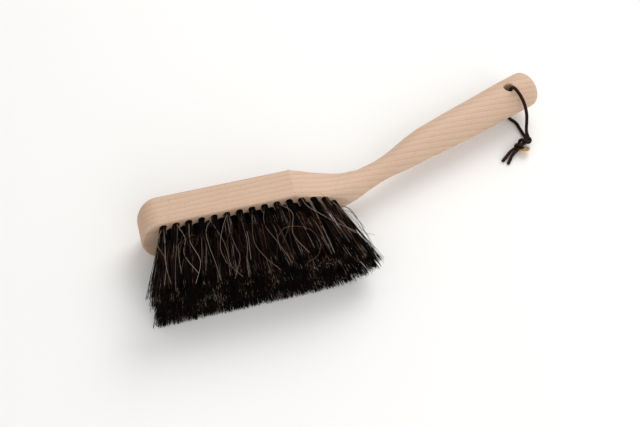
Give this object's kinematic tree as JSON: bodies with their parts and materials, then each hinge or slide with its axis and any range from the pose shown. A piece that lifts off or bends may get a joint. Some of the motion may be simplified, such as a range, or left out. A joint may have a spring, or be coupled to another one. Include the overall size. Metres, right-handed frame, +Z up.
{
  "type": "hand broom",
  "caption": "Wooden hand broom with a cranked round handle, staggered tufts of dark hair and a knotted leather hanging lace with a small brass tag.",
  "frame": {"origin": "bottom centre of the broom's box, lace left out, on the surface that the broom lies on", "axes": "+X from the nose to the handle's end, +Y from the hair tips to the back, +Z up out of the surface, square to the block's flat side"},
  "size_m": [0.3264, 0.1428, 0.042],
  "materials": {
    "beech": "sanded bare beech with fine lengthwise grain",
    "hair": "dark horsehair, slightly glossy",
    "wire": "flat drawn steel wire",
    "leather": "dark brown waxed leather lace",
    "brass": "bare satin brass"
  },
  "bodies": {
    "root": {"stock": "beech", "bristle_row_1": "hair", "bristle_row_2": "hair", "bristle_row_3": "hair", "bristle_row_4": "hair", "bristle_row_5": "hair", "bristle_row_6": "hair", "bristle_row_7": "hair", "wire_anchors_row_1": "wire", "wire_anchors_row_2": "wire", "wire_anchors_row_3": "wire", "wire_anchors_row_4": "wire", "wire_anchors_row_5": "wire", "wire_anchors_row_6": "wire", "wire_anchors_row_7": "wire", "lace_upper_strand": "leather", "lace_lower_strand": "leather", "lace_knot": "leather", "lace_tail_right": "leather", "lace_tail_left": "leather", "brass_tag": "brass"}
  },
  "joints": []
}
